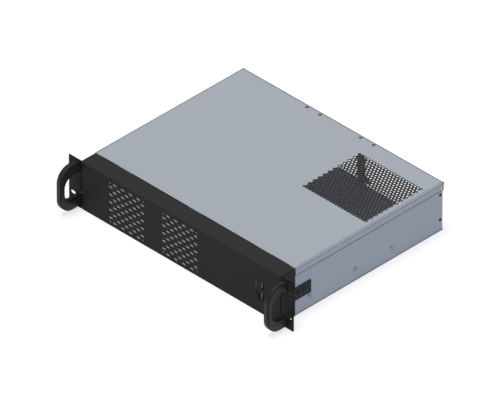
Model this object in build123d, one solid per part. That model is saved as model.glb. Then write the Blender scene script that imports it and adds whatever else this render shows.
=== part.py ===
from build123d import *
import os

# Empty rackmount server case, two rack units high, with a folded steel tray, a slide-off
# cover, a black front bezel, two ears with handles, and the bare fittings inside.
# Millimetres. X runs to the right seen from the front, Y to the back, Z up.
# While the pieces are made, the front face of the bezel is at Y = 0 and the floor at Z = 0.

os.makedirs("parts", exist_ok=True)

# Overall sizes
rack_width = 482.6          # over both ears, the 19 inch standard
ear_width = 26.3            # from the side of the bezel to the edge of an ear
case_height = 88.1          # two rack units less the gap to the next unit
case_depth = 350.0          # front face of the bezel to the back of the tray

# Sheet metal
steel = 1.0                 # tray, cover, rear panel and inner brackets
bezel_steel = 1.2
ear_steel = 2.0
bend_inside = 0.7           # inside radius of a fold
bezel_bend = 1.2            # inside radius of the folds of the bezel
fit_gap = 0.2               # between sheets that slide into each other

# Bezel
bezel_depth = 31.0
bezel_seam = 0.4            # slit between its top and side flanges
lap_length = 26.0           # tab behind the side of the tray, beyond the bezel
bezel_gap = 0.5             # to the front edge of the cover

# Front vents, two windows of staggered slots
first_vent_x = 98.0         # from the left side of the bezel to the middle of the first window
vent_pitch = 115.0
vent_drop = 1.4             # below the middle of the front
vent_border = 4.9           # least room from the outer rows to the edges of the front
slot_long = 8.9
slot_high = 4.2
slot_column_pitch = 8.52
slot_row_pitch = 14.25
slot_columns = 9
slot_corner = 0.3           # corner cut of a slot, as a share of its height
corner_hole_long = 3.8      # short holes that fill the corners of a window
corner_hole_shift = 1.6

# Filter screens behind the front vents
screen_thickness = 3.0
screen_margin = 4.0         # past the outermost slots
frame_steel = 0.8
frame_border = 5.0
frame_window_margin = 1.0

# Tray
top_flange = 12.0           # inward flange along the top of each side
rear_return = 6.0           # inward flange at the back of each side
rear_return_clear = 7.5     # from its top to the middle of the cover screws
rear_return_foot = 4.0
relief = 1.0                # slit at the end of a fold
front_lip = 4.0             # turned up behind the bezel
lip_clear = 3.0             # from the ends of the lip to the filter pans and the sides

# Countersunk holes in the sides of the tray for a mounting rail
rail_hole_ys = (62.0, 160.0, 240.0)
rail_hole_z = 22.5
rail_hole_radius = 1.9
rail_dimple_radius = 3.8
rail_dimple_depth = 1.8

# Cover
side_flange = 14.0          # height of the flange down each side
rear_flange = 8.0
tongue_from_side = 65.0     # from the side of the case to the middle of an outer tongue
tongue_width = 30.0
tongue_reach = 9.0          # under the top flange of the bezel
tongue_drop_gap = 0.2       # below that flange
top_hole_xs = (-71.6, -43.4, 43.4, 71.6)
top_hole_from_back = 5.5
top_hole_radius = 1.8
top_sink_radius = 3.0
tapped_radius = 1.4

# Top vent, a block of staggered hexagonal holes
top_vent_size = (136.0, 124.5)
top_vent_from_side = 8.0
top_vent_from_back = 35.0
top_vent_pitch = 9.0
top_vent_hole = 3.7         # radius over the corners of a hexagon

# Cover screws and the square nuts that travel with them
cover_screw_from_back = 4.0
cover_screw_from_top = 9.6
cover_screw_radius = 1.75
cover_head_radius = 3.2
cover_head_height = 1.7
cover_slot_gap = 0.35       # round the shank in the open slot of the tray
nut_width = 6.0
nut_height = 2.2
nut_gap = 1.0               # round the nut on its way out at the back
screw_tail = 1.2            # shank that stands out of a nut or a tapped sheet

# Ears
slot_pitch_x = 465.1        # rack slots, centre to centre
slot_pitch_z = 44.45
rack_slot_long = 11.0
rack_slot_high = 7.0
tab_length = 63.5           # ear tab, from the front face
tab_z = (30.0, 53.0)
tab_bend = 1.0
tab_screw_ys = (37.5, 49.5)
ear_gap = 0.15              # between an ear and the side of the bezel

# Handles
handle_height = 81.5
handle_reach = 40.0
handle_bar = 9.0            # the grip, from front to back
handle_arm = 18.4           # each arm, from its top to its underside
handle_width = 10.0
handle_offset = 3.1         # from the side of the bezel to the handle
handle_radius = 26.0        # outer corner
handle_inner_radius = 17.5
handle_edge = 1.2

# Screws
screw_radius = 2.0          # shank of the common screw
screw_head_radius = 3.4
screw_head_height = 1.6
small_head_radius = 2.7
small_head_height = 0.8
screw_clearance = 0.2       # round a shank in a plain hole
thread_gap = 0.05           # round a shank in a tapped hole
handle_screw_length = 12.0

# Rear panel
panel_flange = 10.0
panel_foot = 6.0            # bottom flange, short of the rear row of standoffs
psu_width = 150.0           # power supply opening
psu_from_side = 15.0
psu_from_top = 8.1
psu_sill = 3.0
io_size = (158.75, 44.45)   # board connector opening
io_sill = 5.2
io_post = 17.0              # between the two openings
psu_ear = 11.0              # corner ears that carry the power supply screws
psu_hole_radius = 2.0
psu_pattern_width = 138.0
psu_pattern_height = 64.0
card_slots = 4
card_pitch = 20.32
card_first = 12.5           # from the connector opening to the first card slot
card_window_width = 14.0
rear_slot_pitch = 11.6
rear_slot_width = 5.0
rear_slot_gap = 7.35        # above the connector opening
rear_slot_from_top = 13.1
side_screw_low = 21.9
side_screw_inset = 3.7      # upper screw, below the top of the rear return
side_screw_from_back = 6.0

# Card slot covers
blank_width = 18.6
blank_sill = 7.0
blank_from_top = 10.1
blank_lap = 5.0             # past the lower end of its window
blank_steel = 0.8
blank_screw_from_top = 3.6  # below the upper end of the blank
blank_screw_clear = 4.4     # from the screw to the upper end of the window

# Board standoffs, to the usual board pattern
standoff_across = 6.0
standoff_height = 6.5
board_edge = 4.7            # from the connector opening to the edge of the board
board_inset = 6.35          # from that edge to the first column of holes
board_columns = (0.0, -157.48, -203.2)
board_rows = (10.16, 165.1, 237.49)
board_first_row = 33.02     # the first column starts further from the back
board_to_panel = 1.0

# Brackets inside
stop_inset = 20.0           # power supply stop, in from the sides of its opening
stop_from_back = 154.0
stop_height = 24.0
stop_foot = 18.0
drive_from_side = 21.0      # drive bracket
drive_width = 116.0
drive_front = 52.0
drive_to_stop = 2.0         # from the drive bracket to the power supply stop
drive_height = 26.0
drive_foot = 12.0
drive_slot = (12.0, 3.6)
drive_slot_pitch = (95.25, 44.45)
bracket_screw_inset = 16.0

# Front connectors and buttons
port_from_side = 39.0
port_zs = (32.7, 52.3)
port_opening = (5.7, 13.1)
port_wall = 0.4
port_depth = 17.0
port_clearance = 0.25
tongue_size = (1.9, 11.0)
tongue_depth = 14.5
tongue_offset = 0.95        # from the middle of a port towards its left wall
button_from_side = 51.0
button_z = 28.0
button_radius = 4.7
button_proud = 1.6
button_gap = 0.3
button_travel = 1.5
button_flange = 1.0
reset_from_side = 52.5
reset_z = 37.6
reset_radius = 1.6
reset_proud = 0.3
reset_travel = 0.8
plunger_radius = 1.2
switch_body = (6.0, 4.0)
lens_z = 50.5
lens_width = 4.0
lens_height = 13.6
lens_gap = 0.1
lens_flange = 0.8
light_pitch = 6.4
light_radius = 1.5
light_length = 3.0
small_board_width = 32.0
small_board_from_side = 29.0
board_z = (18.0, 64.0)
board_thickness = 1.6
board_y = 19.0              # front face of the small connector board
arm_foot = 12.0
arm_screw_inset = 7.0
arm_screw_setback = 7.2
arm_border = (6.0, 4.0)     # round the window of the bracket

# Places worked out from the sizes
half_rack = rack_width / 2
half_body = half_rack - ear_width
mid_z = case_height / 2
bend_outside = bend_inside + steel
cover_top = case_height + steel
cover_half = half_body + steel
cover_front = bezel_depth + bezel_gap
cover_back = case_depth + steel
wall_in = half_body - steel
panel_back = case_depth - steel
panel_half = wall_in - fit_gap
origin_y = (cover_back - handle_reach) / 2
vent_centres = (first_vent_x - half_body, first_vent_x + vent_pitch - half_body)
vent_z = mid_z - vent_drop
slot_rows = int((case_height - 2 * vent_border - slot_high) / slot_row_pitch) + 1
cover_screw_z = cover_top - cover_screw_from_top
rear_return_top = cover_screw_z - rear_return_clear
side_screw_zs = (side_screw_low, rear_return_top - side_screw_inset)
tongue_xs = (tongue_from_side - half_body, 0.0, half_body - tongue_from_side)
psu_x = (half_body - psu_from_side - psu_width, half_body - psu_from_side)
psu_z = (psu_sill, case_height - psu_from_top)
io_x = (psu_x[0] - io_post - io_size[0], psu_x[0] - io_post)
io_z = (io_sill, io_sill + io_size[1])
blank_z = (blank_sill, case_height - blank_from_top)
blank_screw_z = blank_z[1] - blank_screw_from_top
card_room = half_body - rear_return + io_x[0] - card_first - blank_width / 2
card_count = min(card_slots, max(0, int(card_room / card_pitch) + 1))
board_edge_x = io_x[1] + board_edge
stop_x = (psu_x[0] + stop_inset, psu_x[1] - stop_inset)
stop_y = case_depth - stop_from_back
drive_x = (half_body - drive_from_side - drive_width, half_body - drive_from_side)
drive_y = (drive_front, stop_y - stop_foot - drive_to_stop)
port_x = half_body - port_from_side
button_x = half_body - button_from_side
reset_x = half_body - reset_from_side
lens_x = reset_x
board_right = half_body - small_board_from_side
board_x = (board_right - small_board_width, board_right)
top_vent_right = half_body - top_vent_from_side
top_vent_back = case_depth - top_vent_from_back


def block(x, y, z):
    """A box from three spans."""
    size = [b - a for a, b in (x, y, z)]
    middle = [(a + b) / 2 for a, b in (x, y, z)]
    return Pos(*middle) * Box(*size)


def rod(start, axis, radius, length):
    """A round bar from a point along an axis."""
    lowest = (Align.CENTER, Align.CENTER, Align.MIN)
    return Plane(origin=start, z_dir=axis) * Cylinder(radius, length, align=lowest)


def cone(start, axis, radius, end_radius, length):
    """A cone from a point along an axis."""
    lowest = (Align.CENTER, Align.CENTER, Align.MIN)
    return Plane(origin=start, z_dir=axis) * Cone(radius, end_radius, length, align=lowest)


def folded(plane, points, thickness, inside, length):
    """A folded strip: the middle line of the sheet, thickened and drawn out along the plane."""
    line = FilletPolyline(*points, radius=inside + thickness / 2)
    return extrude(plane * trace(line, thickness), length)


def punched(plane, outlines, length):
    """Holes of one outline sheet, drawn out for cutting."""
    return extrude(plane * outlines, length)


def screw(seat, axis, shank, head, head_height, length, sunk):
    """A screw whose head lies on, or is sunk into, the seat, with its shank along the axis."""
    direction = Vector(*axis)
    foot = Vector(*seat)
    bar = rod(foot, axis, shank, length)
    if sunk:
        return bar + cone(foot, axis, head, shank, head_height)
    return bar + rod(foot - direction * head_height, axis, head, head_height)


def mirrored(shape):
    """The same piece on the left side."""
    return mirror(shape, about=Plane.YZ)


def save(name, *shapes):
    """Writes the solids of one node, moved so that the origin is under the middle of the case."""
    solids = [solid for shape in shapes for solid in shape.solids()]
    moved = [Pos(0, -origin_y, 0) * solid for solid in solids]
    piece = moved[0] if len(moved) == 1 else Compound(children=moved)
    piece.label = name
    export_step(piece, f"parts/{name}.step")


def slot_cells():
    """Centres of the slots of one window, from its middle."""
    cells = []
    for column in range(slot_columns):
        rows = slot_rows if column % 2 else slot_rows - 1
        x = (column - (slot_columns - 1) / 2) * slot_column_pitch
        cells += [(x, (row - (rows - 1) / 2) * slot_row_pitch) for row in range(rows)]
    return cells


def window_half_sizes():
    """Half width and half height over the slots of a window."""
    half_width = (slot_columns - 1) / 2 * slot_column_pitch + slot_long / 2
    half_height = (slot_rows - 1) / 2 * slot_row_pitch + slot_high / 2
    return half_width, half_height


def window_outlines():
    """All slots of one window and the short holes in its corners."""
    outline = Sketch() + [Pos(x, z) * slot_outline(slot_long) for x, z in slot_cells()]
    corner_x = (slot_columns - 1) / 2 * slot_column_pitch + corner_hole_shift
    corner_z = (slot_rows - 1) / 2 * slot_row_pitch
    for side in (-1, 1):
        for end in (-1, 1):
            outline += Pos(side * corner_x, end * corner_z) * slot_outline(corner_hole_long)
    return outline


def slot_outline(long):
    """One slot of a front vent, with cut corners in place of its round ends."""
    outline = Rectangle(long, slot_high)
    return chamfer(outline.vertices(), slot_high * slot_corner)


def front_bezel():
    """Black front: face, top flange, side flanges, and a lap tab behind each side of the tray."""
    outer = block((-half_body, half_body), (0, bezel_depth), (0, case_height))
    outer = fillet(front_folds(outer), bezel_bend + bezel_steel)
    inner_half = half_body - bezel_steel
    inner_top = case_height - bezel_steel
    inner = block((-inner_half, inner_half), (bezel_steel, bezel_depth + 1), (-1, inner_top))
    inner = fillet(front_folds(inner), bezel_bend)
    bezel = outer - inner
    seam_y = (bezel_bend + bezel_steel, bezel_depth + 1)
    seam = block((inner_half - 1, half_body + 1), seam_y, (inner_top - bezel_seam, inner_top))
    bezel -= seam + mirrored(seam)
    lap = folded_lap()
    bezel += lap + mirrored(lap)
    for x in vent_centres:
        bezel -= punched(face_plane(x, vent_z), window_outlines(), -2 * bezel_steel)
    bezel -= port_holes()
    holes = tab_screw_holes(screw_radius + thread_gap, wall_in - 2 * bezel_steel, wall_in)
    return bezel - holes - mirrored(holes)


def front_folds(shape):
    """The top edge and the two upright edges of the front face."""
    front = shape.faces().sort_by(Axis.Y)[0]
    return [edge for edge in front.edges() if edge.center().Z > front.center().Z - 1]


def face_plane(x, z):
    """A drawing plane on the front face, seen from the front, with its depth to the back."""
    return Plane(origin=(x, -bezel_steel / 2, z), x_dir=(1, 0, 0), z_dir=(0, -1, 0))


def folded_lap():
    """Tab of the right side flange, stepped inwards to lie behind the side of the tray."""
    back = bezel_depth + lap_length
    inner = wall_in - bezel_steel
    step = block((inner, half_body), (bezel_depth - bezel_steel, bezel_depth), tab_z)
    return step + block((inner, wall_in), (bezel_depth - bezel_steel, back), tab_z)


def tab_screw_holes(radius, x_from, x_to):
    """Holes for the ear screws on the right side."""
    z = sum(tab_z) / 2
    return Part() + [rod((x_from, y, z), (1, 0, 0), radius, x_to - x_from) for y in tab_screw_ys]


def port_holes():
    """Openings of the bezel for the sockets, the buttons and the indicator lens."""
    wide = port_opening[0] + 2 * (port_wall + port_clearance)
    high = port_opening[1] + 2 * (port_wall + port_clearance)
    through = (-1, bezel_steel + 1)
    holes = Part()
    for z in port_zs:
        holes += block((port_x - wide / 2, port_x + wide / 2), through, (z - high / 2, z + high / 2))
    holes += rod((button_x, -1, button_z), (0, 1, 0), button_radius + button_gap, bezel_steel + 2)
    holes += rod((reset_x, -1, reset_z), (0, 1, 0), reset_radius + button_gap, bezel_steel + 2)
    lens = SlotOverall(lens_height + 2 * lens_gap, lens_width + 2 * lens_gap, rotation=90)
    return holes + punched(face_plane(lens_x, lens_z), lens, -2 * bezel_steel)


def filter_screen(x):
    """Fine screen that lies behind one front vent."""
    half_width, half_height = window_half_sizes()
    wide = half_width + screen_margin
    high = half_height + screen_margin - 1
    depth = (bezel_steel, bezel_steel + screen_thickness)
    return block((x - wide, x + wide), depth, (vent_z - high, vent_z + high))


def filter_frame(x):
    """Shallow pan with a window that holds a screen to the bezel, open at its top and bottom."""
    half_width, half_height = window_half_sizes()
    wide = half_width + screen_margin + fit_gap
    high = half_height + screen_margin - 1
    back = bezel_steel + screen_thickness + fit_gap
    foot = frame_border
    points = [
        (x - wide - foot, bezel_steel + frame_steel / 2),
        (x - wide - frame_steel / 2, bezel_steel + frame_steel / 2),
        (x - wide - frame_steel / 2, back + frame_steel / 2),
        (x + wide + frame_steel / 2, back + frame_steel / 2),
        (x + wide + frame_steel / 2, bezel_steel + frame_steel / 2),
        (x + wide + foot, bezel_steel + frame_steel / 2),
    ]
    pan = folded(Plane.XY.offset(vent_z - high), points, frame_steel, frame_steel / 2, 2 * high)
    open_x = half_width + frame_window_margin
    open_z = half_height - frame_border / 2
    depth = (back - 1, back + frame_steel + 1)
    return pan - block((x - open_x, x + open_x), depth, (vent_z - open_z, vent_z + open_z))


def chassis_tray():
    """Floor, sides, top flanges and rear returns, folded from one sheet."""
    mid = steel / 2
    top = case_height - mid
    side = half_body - mid
    section = [
        (-half_body + top_flange, top),
        (-side, top),
        (-side, mid),
        (side, mid),
        (side, top),
        (half_body - top_flange, top),
    ]
    front = bezel_depth + fit_gap
    body = folded(Plane.XZ, section, steel, bend_inside, front - case_depth)
    body = Pos(0, front, 0) * body
    floor_half = half_body - bezel_steel - bezel_bend
    lip_y = bezel_steel + fit_gap + mid
    apron_y = lip_y + mid + bend_inside
    body += block((-floor_half, floor_half), (apron_y, front + 1), (0, steel))
    pan_half = window_half_sizes()[0] + screen_margin + fit_gap + frame_border + lip_clear
    lip_end = floor_half - relief
    lip_spans = ((-lip_end, vent_centres[0] - pan_half), (vent_centres[1] + pan_half, lip_end))
    between = (lip_spans[0][1] + relief, lip_spans[1][0] - relief)
    body += block(between, (lip_y - mid, front + 1), (0, steel))
    for start, end in lip_spans:
        lip_plane = Plane(origin=(start, 0, 0), x_dir=(0, 1, 0), z_dir=(1, 0, 0))
        lip = [(front + 1, mid), (lip_y, mid), (lip_y, front_lip)]
        body += folded(lip_plane, lip, steel, bend_inside, end - start)
    for sign in (1, -1):
        body = side_of_tray(body, sign)
    return body


def side_of_tray(body, sign):
    """Folds the rear return of one side and punches its holes."""
    def put(shape):
        return shape if sign > 0 else mirrored(shape)
    beyond = case_depth + 1
    fold = case_depth - bend_outside
    low, high = rear_return_foot, rear_return_top
    room = block((wall_in - 1, half_body + 1), (fold, beyond), (low - relief, high + relief))
    mid_x = half_body - steel / 2
    mid_y = case_depth - steel / 2
    line = [(mid_x, fold - 1), (mid_x, mid_y), (half_body - rear_return, mid_y)]
    back = folded(Plane.XY.offset(low), line, steel, bend_inside, high - low)
    body = body - put(room) + put(back)
    body -= put(block((wall_in - 1, half_body + 1), (cover_screw_y(), beyond), cover_slot_span()))
    top_fold = (case_height - bend_outside, case_height + 1)
    body -= put(block((top_flange_edge() - 1, half_body + 1), (case_depth - relief, beyond), top_fold))
    body -= put(rod((wall_in - 1, cover_screw_y(), cover_screw_z), (1, 0, 0), cover_slot_half(), steel + 2))
    body -= put(side_screw_holes(screw_radius + screw_clearance))
    body -= put(tab_screw_holes(screw_radius + screw_clearance, wall_in - 1, half_body + 1))
    for y in rail_hole_ys:
        body = body + put(rail_dimple(y)) - put(rail_hole(y))
    return body


def rail_dimple(y):
    """Pressed boss on the inside of the right wall, under a countersunk hole."""
    start = (wall_in, y, rail_hole_z)
    return cone(start, (-1, 0, 0), rail_dimple_radius + steel, rail_hole_radius + steel, rail_dimple_depth)


def rail_hole(y):
    """Countersink from the outside and the hole through its bottom."""
    start = (half_body, y, rail_hole_z)
    sink = cone(start, (-1, 0, 0), rail_dimple_radius, rail_hole_radius, rail_dimple_depth)
    return sink + rod(start, (-1, 0, 0), rail_hole_radius, rail_dimple_depth + 2 * steel)


def cover_screw_y():
    """Place of the cover screws along the case."""
    return case_depth - cover_screw_from_back


def cover_slot_half():
    """Half height of the open slot round a cover screw."""
    return cover_screw_radius + cover_slot_gap


def cover_slot_span():
    """Height span of the open slot."""
    return cover_screw_z - cover_slot_half(), cover_screw_z + cover_slot_half()


def side_screw_holes(radius):
    """Holes for the rear panel screws on the right side."""
    y = case_depth - side_screw_from_back
    start = wall_in - 2 * steel
    return Part() + [rod((start, y, z), (1, 0, 0), radius, 3 * steel + 1) for z in side_screw_zs]


def rear_panel():
    """Back of the case: a sheet between the sides, with flanges forward all round."""
    mid_y = panel_back - steel / 2
    top = case_height - steel / 2
    bottom = steel + steel / 2
    front = panel_back - panel_flange
    section = [(front, top), (mid_y, top), (mid_y, bottom), (panel_back - panel_foot, bottom)]
    upright = Plane(origin=(-panel_half, 0, 0), x_dir=(0, 1, 0), z_dir=(1, 0, 0))
    panel = folded(upright, section, steel, bend_inside, 2 * panel_half)
    for sign in (1, -1):
        panel = side_of_panel(panel, sign)
    panel -= block(io_x, (front + steel, panel_back + 1), io_z)
    panel -= psu_window()
    panel -= card_windows() + rear_vent()
    for x in tongue_xs:
        panel -= tongue_path(x)
    for x in top_hole_xs:
        panel -= rod((x, case_depth - top_hole_from_back, top - steel), (0, 0, 1), tapped_radius, 2 * steel)
    return panel


def side_of_panel(panel, sign):
    """Folds one side flange of the rear panel and clears the way of the cover nut."""
    def put(shape):
        return shape if sign > 0 else mirrored(shape)
    fold = panel_back - bend_outside
    low, high = rear_return_foot + relief, rear_return_top - relief
    edge = (panel_half - bend_outside, panel_half + 1)
    top_edge = (top_flange_edge() - fit_gap, panel_half + 1)
    panel -= put(block(edge, (0, panel_back + 1), (low - relief, high + relief)))
    panel -= put(block(top_edge, (0, panel_back + 1), (case_height - bend_outside - relief, case_height + 1)))
    low_edge = (panel_half - bend_inside, panel_half + 1)
    panel -= put(block(low_edge, (0, panel_back + 1), (0, steel + bend_outside)))
    mid_x = panel_half - steel / 2
    mid_y = panel_back - steel / 2
    line = [(mid_x, panel_back - panel_flange), (mid_x, mid_y), (edge[0] - 1, mid_y)]
    flange = folded(Plane.XY.offset(low), line, steel, bend_inside, high - low)
    panel += put(flange)
    nut_in = wall_in - nut_height - screw_tail - nut_gap
    nut_top = cover_screw_z + nut_width / 2 + nut_gap
    panel -= put(block((nut_in, half_body), (0, panel_back + 1), (high, nut_top)))
    return panel - put(side_screw_holes(screw_radius + thread_gap))


def top_flange_edge():
    """Inner edge of the right top flange of the tray."""
    return half_body - top_flange


def psu_window():
    """Opening for a power supply, with ears left in it for its four screws."""
    depth = (panel_back - 2 * steel, panel_back + 1)
    window = block(psu_x, depth, psu_z)
    holes = Part()
    for x, z, side, end in psu_screw_places():
        ear = rod((x, depth[0], z), (0, 1, 0), psu_ear / 2, depth[1] - depth[0])
        ear += block(ordered(x, x + side * psu_ear), depth, (z - psu_ear / 2, z + psu_ear / 2))
        if end:
            corner = ordered(x - side * psu_ear / 2, x + side * psu_ear)
            ear += block(corner, depth, ordered(z, z + psu_ear))
        window -= ear
        holes += rod((x, depth[0], z), (0, 1, 0), psu_hole_radius, depth[1] - depth[0])
    return window + holes


def psu_screw_places():
    """Four screws of the power supply, each with the side and end of the opening it is near."""
    mid_x = sum(psu_x) / 2
    left, right = mid_x - psu_pattern_width / 2, mid_x + psu_pattern_width / 2
    top = psu_z[1] - psu_ear / 2 + 1
    low = top - psu_pattern_height
    return [(left, top, -1, 1), (right, top, 1, 1), (left, low, -1, 0), (right, low, 1, 0)]


def ordered(a, b):
    """A span with its lower end first."""
    return (min(a, b), max(a, b))


def card_x(index):
    """Middle of a card slot, counted from the connector opening."""
    return io_x[0] - card_first - index * card_pitch


def card_windows():
    """Upright openings for the brackets of low expansion cards, each with a screw hole above."""
    half = card_window_width / 2
    depth = (panel_back - 2 * steel, panel_back + 1)
    height = (blank_z[0] + blank_lap, blank_screw_z - blank_screw_clear)
    cut = Part()
    for index in range(card_count):
        x = card_x(index)
        cut += block((x - half, x + half), depth, height)
        cut += rod((x, depth[0], blank_screw_z), (0, 1, 0), tapped_radius + thread_gap, 3 * steel)
    return cut


def rear_vent():
    """Row of upright slots above the connector opening."""
    low, top = io_z[1] + rear_slot_gap, case_height - rear_slot_from_top
    one = SlotOverall(top - low, rear_slot_width, rotation=90)
    count = int((io_size[0] - rear_slot_width) / rear_slot_pitch)
    row = Sketch() + [place * one for place in GridLocations(rear_slot_pitch, 1, count, 1)]
    middle = (sum(io_x) / 2, panel_back + 1, (low + top) / 2)
    plane = Plane(origin=middle, x_dir=(1, 0, 0), z_dir=(0, -1, 0))
    return punched(plane, row, 3 * steel)


def tongue_path(x):
    """Notch in the top edge of the rear panel through which a cover tongue passes."""
    half = tongue_width / 2 + 1
    low = tongue_top() - steel - tongue_drop_gap
    depth = (panel_back - panel_flange - 1, panel_back + 1)
    return block((x - half, x + half), depth, (low, case_height + 1))


def tongue_top():
    """Upper face of the cover tongues, just under the top flange of the bezel."""
    return case_height - bezel_steel - tongue_drop_gap


def top_cover():
    """Cover: top, side flanges, rear flange and front tongues, folded from one sheet."""
    mid = steel / 2
    low = cover_top - side_flange
    top = cover_top - mid
    side = cover_half - mid
    section = [(-side, low), (-side, top), (side, top), (side, low)]
    fold = cover_back - bend_outside
    body = Pos(0, cover_front, 0) * folded(Plane.XZ, section, steel, bend_inside, cover_front - fold)
    span = cover_half - bend_outside - relief
    along_x = Plane(origin=(-span, 0, 0), x_dir=(0, 1, 0), z_dir=(1, 0, 0))
    rear = [(fold - 1, top), (cover_back - mid, top), (cover_back - mid, cover_top - rear_flange)]
    body += folded(along_x, rear, steel, bend_inside, 2 * span)
    for x in tongue_xs:
        body += cover_tongue(x)
    for x in top_hole_xs:
        spot = (x, case_depth - top_hole_from_back, cover_top)
        body -= cone(spot, (0, 0, -1), top_sink_radius, top_hole_radius, steel)
        body -= rod(spot, (0, 0, -1), top_hole_radius, 2 * steel)
    start = (wall_in, cover_screw_y(), cover_screw_z)
    hole = rod(start, (1, 0, 0), cover_screw_radius + thread_gap, 3 * steel)
    body -= hole + mirrored(hole)
    return body - top_vent()


def cover_tongue(x):
    """Tongue stepped down from the front edge of the cover to pass under the bezel."""
    mid = steel / 2
    high = cover_top - mid
    low = tongue_top() - mid
    step_y = cover_front + steel
    points = [(step_y + 2 * steel, high), (step_y, high), (step_y, low), (cover_front - tongue_reach, low)]
    plane = Plane(origin=(x - tongue_width / 2, 0, 0), x_dir=(0, 1, 0), z_dir=(1, 0, 0))
    return folded(plane, points, steel, steel / 4, tongue_width)


def top_vent():
    """Staggered hexagonal holes over the power supply."""
    row_pitch = top_vent_pitch * 3 ** 0.5 / 2
    wide, long = top_vent_size
    rows = int((long - 2 * top_vent_hole) / row_pitch) + 1
    hexagon = RegularPolygon(top_vent_hole, 6, rotation=30)
    holes = Sketch()
    cells = []
    for row in range(rows):
        shift = (row % 2) * top_vent_pitch / 2
        count = int((wide - 2 * top_vent_hole - shift) / top_vent_pitch) + 1
        start = -wide / 2 + top_vent_hole + shift
        y = (row - (rows - 1) / 2) * row_pitch
        cells += [(start + index * top_vent_pitch, y) for index in range(count)]
    holes += [Pos(x, y) * hexagon for x, y in cells]
    middle = (top_vent_right - wide / 2, top_vent_back - long / 2, case_height - 1)
    return punched(Plane(origin=middle), holes, steel + 2)


def cover_screws():
    """Pan head screws through the side flanges of the cover."""
    seat = (cover_half, cover_screw_y(), cover_screw_z)
    length = 2 * steel + nut_height + screw_tail
    one = screw(seat, (-1, 0, 0), cover_screw_radius, cover_head_radius, cover_head_height, length, False)
    return [one, mirrored(one)]


def cover_nuts():
    """Square nuts behind the open slots of the tray."""
    middle = Pos(wall_in - nut_height / 2, cover_screw_y(), cover_screw_z)
    body = middle * Box(nut_height, nut_width, nut_width)
    start = (wall_in - 2 * nut_height, cover_screw_y(), cover_screw_z)
    one = body - rod(start, (1, 0, 0), cover_screw_radius + thread_gap, 3 * nut_height)
    return [one, mirrored(one)]


def right_ear():
    """Ear plate in the plane of the front face, with a tab folded back along the case."""
    inner = half_body + ear_gap
    plate = block((inner, half_rack), (0, ear_steel), (0, case_height))
    fold = inner + tab_bend + ear_steel
    low, high = tab_z
    plate -= block((inner - 1, fold), (-1, ear_steel + 1), (low - relief, high + relief))
    mid = ear_steel / 2
    line = [(fold + 1, mid), (half_body + mid, mid), (half_body + mid, tab_length)]
    ear = plate + folded(Plane.XY.offset(low), line, ear_steel, tab_bend, high - low)
    for end in (-1, 1):
        z = mid_z + end * slot_pitch_z / 2
        plane = Plane(origin=(slot_pitch_x / 2, -1, z), x_dir=(1, 0, 0), z_dir=(0, -1, 0))
        ear -= punched(plane, SlotOverall(rack_slot_long, rack_slot_high), -ear_steel - 2)
    ear -= tab_screw_holes(screw_radius + screw_clearance, half_body - 1, half_body + ear_steel + 1)
    for z in handle_screw_zs():
        spot = (handle_x(), ear_steel, z)
        ear -= rod(spot, (0, -1, 0), screw_radius + screw_clearance, 2 * ear_steel)
        sink = screw_head_radius + thread_gap
        ear -= cone(spot, (0, -1, 0), sink, screw_radius, screw_head_height + thread_gap)
    return ear


def handle_x():
    """Middle of the right handle across the case."""
    return half_body + handle_offset + handle_width / 2


def handle_screw_zs():
    """Heights of the two screws of a handle, in the middle of its arms."""
    reach = handle_height / 2 - handle_arm / 2
    return mid_z - reach, mid_z + reach


def right_handle():
    """Handle: two broad arms and a slimmer grip with round corners."""
    side = Plane(origin=(handle_x() - handle_width / 2, 0, mid_z), x_dir=(0, 1, 0), z_dir=(1, 0, 0))
    outside = handle_outline(handle_reach, handle_height, handle_radius)
    inner_height = handle_height - 2 * handle_arm
    inside = handle_outline(handle_reach - handle_bar, inner_height, handle_inner_radius)
    bar = extrude(side * (outside - inside), handle_width)
    edges = [edge for edge in bar.edges() if edge.center().Y < -1e-3]
    edges = [edge for edge in edges if abs(abs(edge.center().X - handle_x()) - handle_width / 2) < 1e-3]
    bar = chamfer(edges, handle_edge)
    for z in handle_screw_zs():
        bar -= rod((handle_x(), 0, z), (0, -1, 0), screw_radius + thread_gap, handle_screw_length)
    return bar


def handle_outline(reach, height, radius):
    """Half of a rounded rectangle, open towards the ear."""
    whole = RectangleRounded(2 * reach, height, radius)
    return whole & (Pos(-reach, 0) * Rectangle(2 * reach, height + 1))


def handle_screws():
    """Countersunk screws from behind the ears into the arms of the handles."""
    made = []
    for z in handle_screw_zs():
        seat = (handle_x(), ear_steel, z)
        length = handle_screw_length
        one = screw(seat, (0, -1, 0), screw_radius, screw_head_radius, screw_head_height, length, True)
        made += [one, mirrored(one)]
    return made


def ear_screws():
    """Screws through each ear tab, the side of the tray and the lap tab of the bezel."""
    made = []
    for y in tab_screw_ys:
        seat = (half_body + ear_steel, y, sum(tab_z) / 2)
        length = ear_steel + steel + bezel_steel + screw_tail
        one = screw(seat, (-1, 0, 0), screw_radius, screw_head_radius, screw_head_height, length, False)
        made += [one, mirrored(one)]
    return made


def rear_panel_screws():
    """Screws through the sides of the tray into the rear panel."""
    made = []
    for z in side_screw_zs:
        seat = (half_body, case_depth - side_screw_from_back, z)
        length = 2 * steel + fit_gap + screw_tail
        one = screw(seat, (-1, 0, 0), screw_radius, small_head_radius, small_head_height, length, False)
        made += [one, mirrored(one)]
    return made


def slot_cover(index):
    """Blank plate over one card slot, on the outside of the rear panel."""
    x = card_x(index)
    wide = blank_width / 2
    plate = block((x - wide, x + wide), (panel_back, panel_back + blank_steel), blank_z)
    start = (x, panel_back - 1, blank_screw_z)
    return plate - rod(start, (0, 1, 0), tapped_radius + screw_clearance, 2 + blank_steel)


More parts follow.
